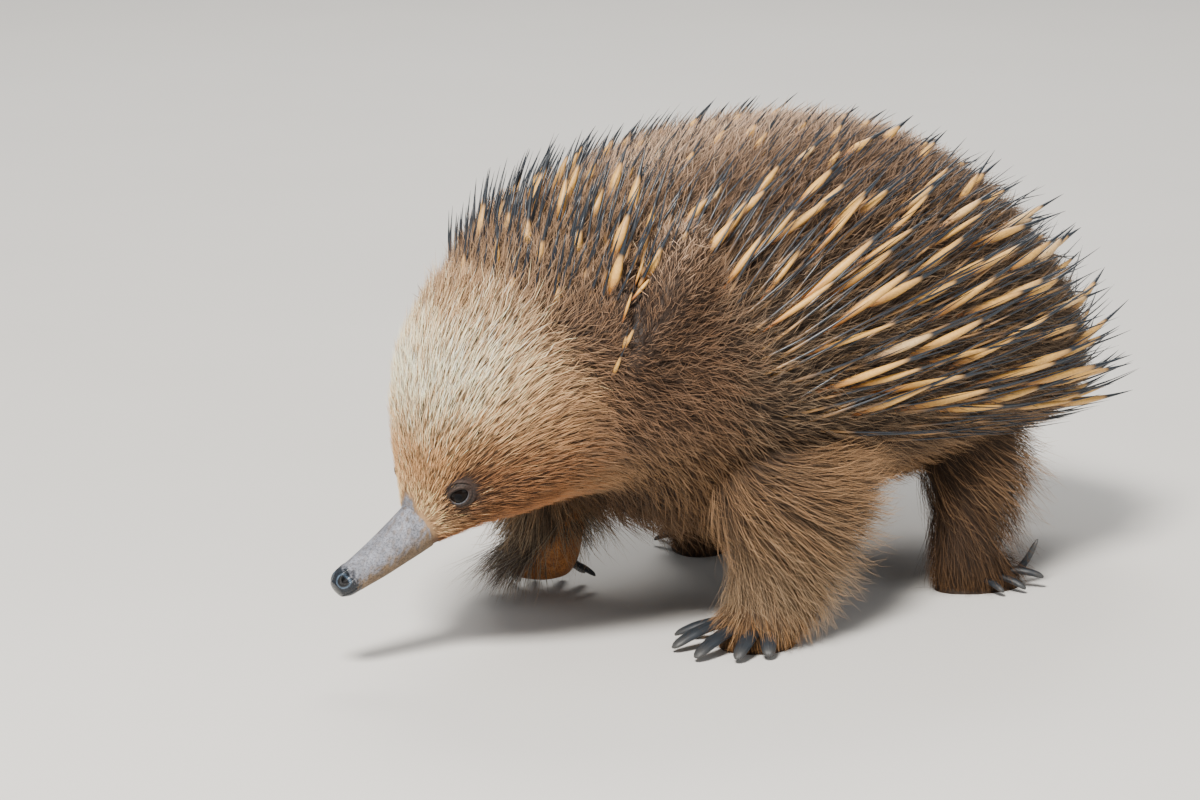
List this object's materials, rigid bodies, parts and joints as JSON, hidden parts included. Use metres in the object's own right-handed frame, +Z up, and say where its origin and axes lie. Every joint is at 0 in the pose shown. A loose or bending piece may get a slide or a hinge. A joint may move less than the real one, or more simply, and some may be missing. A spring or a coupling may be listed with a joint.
{
  "type": "echidna model",
  "caption": "Life-size still model of a walking long-furred short-beaked echidna, with bare beak, spines, coat and digging claws",
  "frame": {"origin": "on the floor, under the middle of the model's bounding box", "axes": "+Z up, the animal faces -X and its left side faces -Y"},
  "size_m": [0.414, 0.2125, 0.2025],
  "materials": {
    "head_coat": "short dense fur, sandy over the brow and brown round the eye",
    "neck_coat": "bristly brown fur with pale tips",
    "back_coat": "woolly dark brown fur between smooth cream spines with black tips",
    "leg_coat": "long golden brown hair",
    "beak_skin": "bare mottled grey skin, moist and blue black at the tip",
    "claw_horn": "dark blue grey horn, worn and slightly glossy",
    "eye": "dark glossy eyeball"
  },
  "bodies": {
    "root": {"head": "head_coat", "beak": "beak_skin", "eye_left": "eye", "eye_right": "eye", "ear_left": "neck_coat", "ear_right": "neck_coat", "neck": "neck_coat", "torso": "back_coat", "tail": "back_coat", "foreleg_left": "leg_coat", "foreleg_right": "leg_coat", "hindleg_left": "leg_coat", "hindleg_right": "leg_coat", "forefoot_left": "leg_coat", "forefoot_right": "leg_coat", "hindfoot_left": "leg_coat", "hindfoot_right": "leg_coat", "claw_fore_left_1": "claw_horn", "claw_fore_left_2": "claw_horn", "claw_fore_left_3": "claw_horn", "claw_fore_left_4": "claw_horn", "claw_fore_left_5": "claw_horn", "claw_fore_right_1": "claw_horn", "claw_fore_right_2": "claw_horn", "claw_fore_right_3": "claw_horn", "claw_fore_right_4": "claw_horn", "claw_fore_right_5": "claw_horn", "claw_hind_left_1": "claw_horn", "claw_hind_left_2": "claw_horn", "claw_hind_left_3": "claw_horn", "claw_hind_left_4": "claw_horn", "claw_hind_left_5": "claw_horn", "claw_hind_right_1": "claw_horn", "claw_hind_right_2": "claw_horn", "claw_hind_right_3": "claw_horn", "claw_hind_right_4": "claw_horn", "claw_hind_right_5": "claw_horn"}
  },
  "joints": []
}
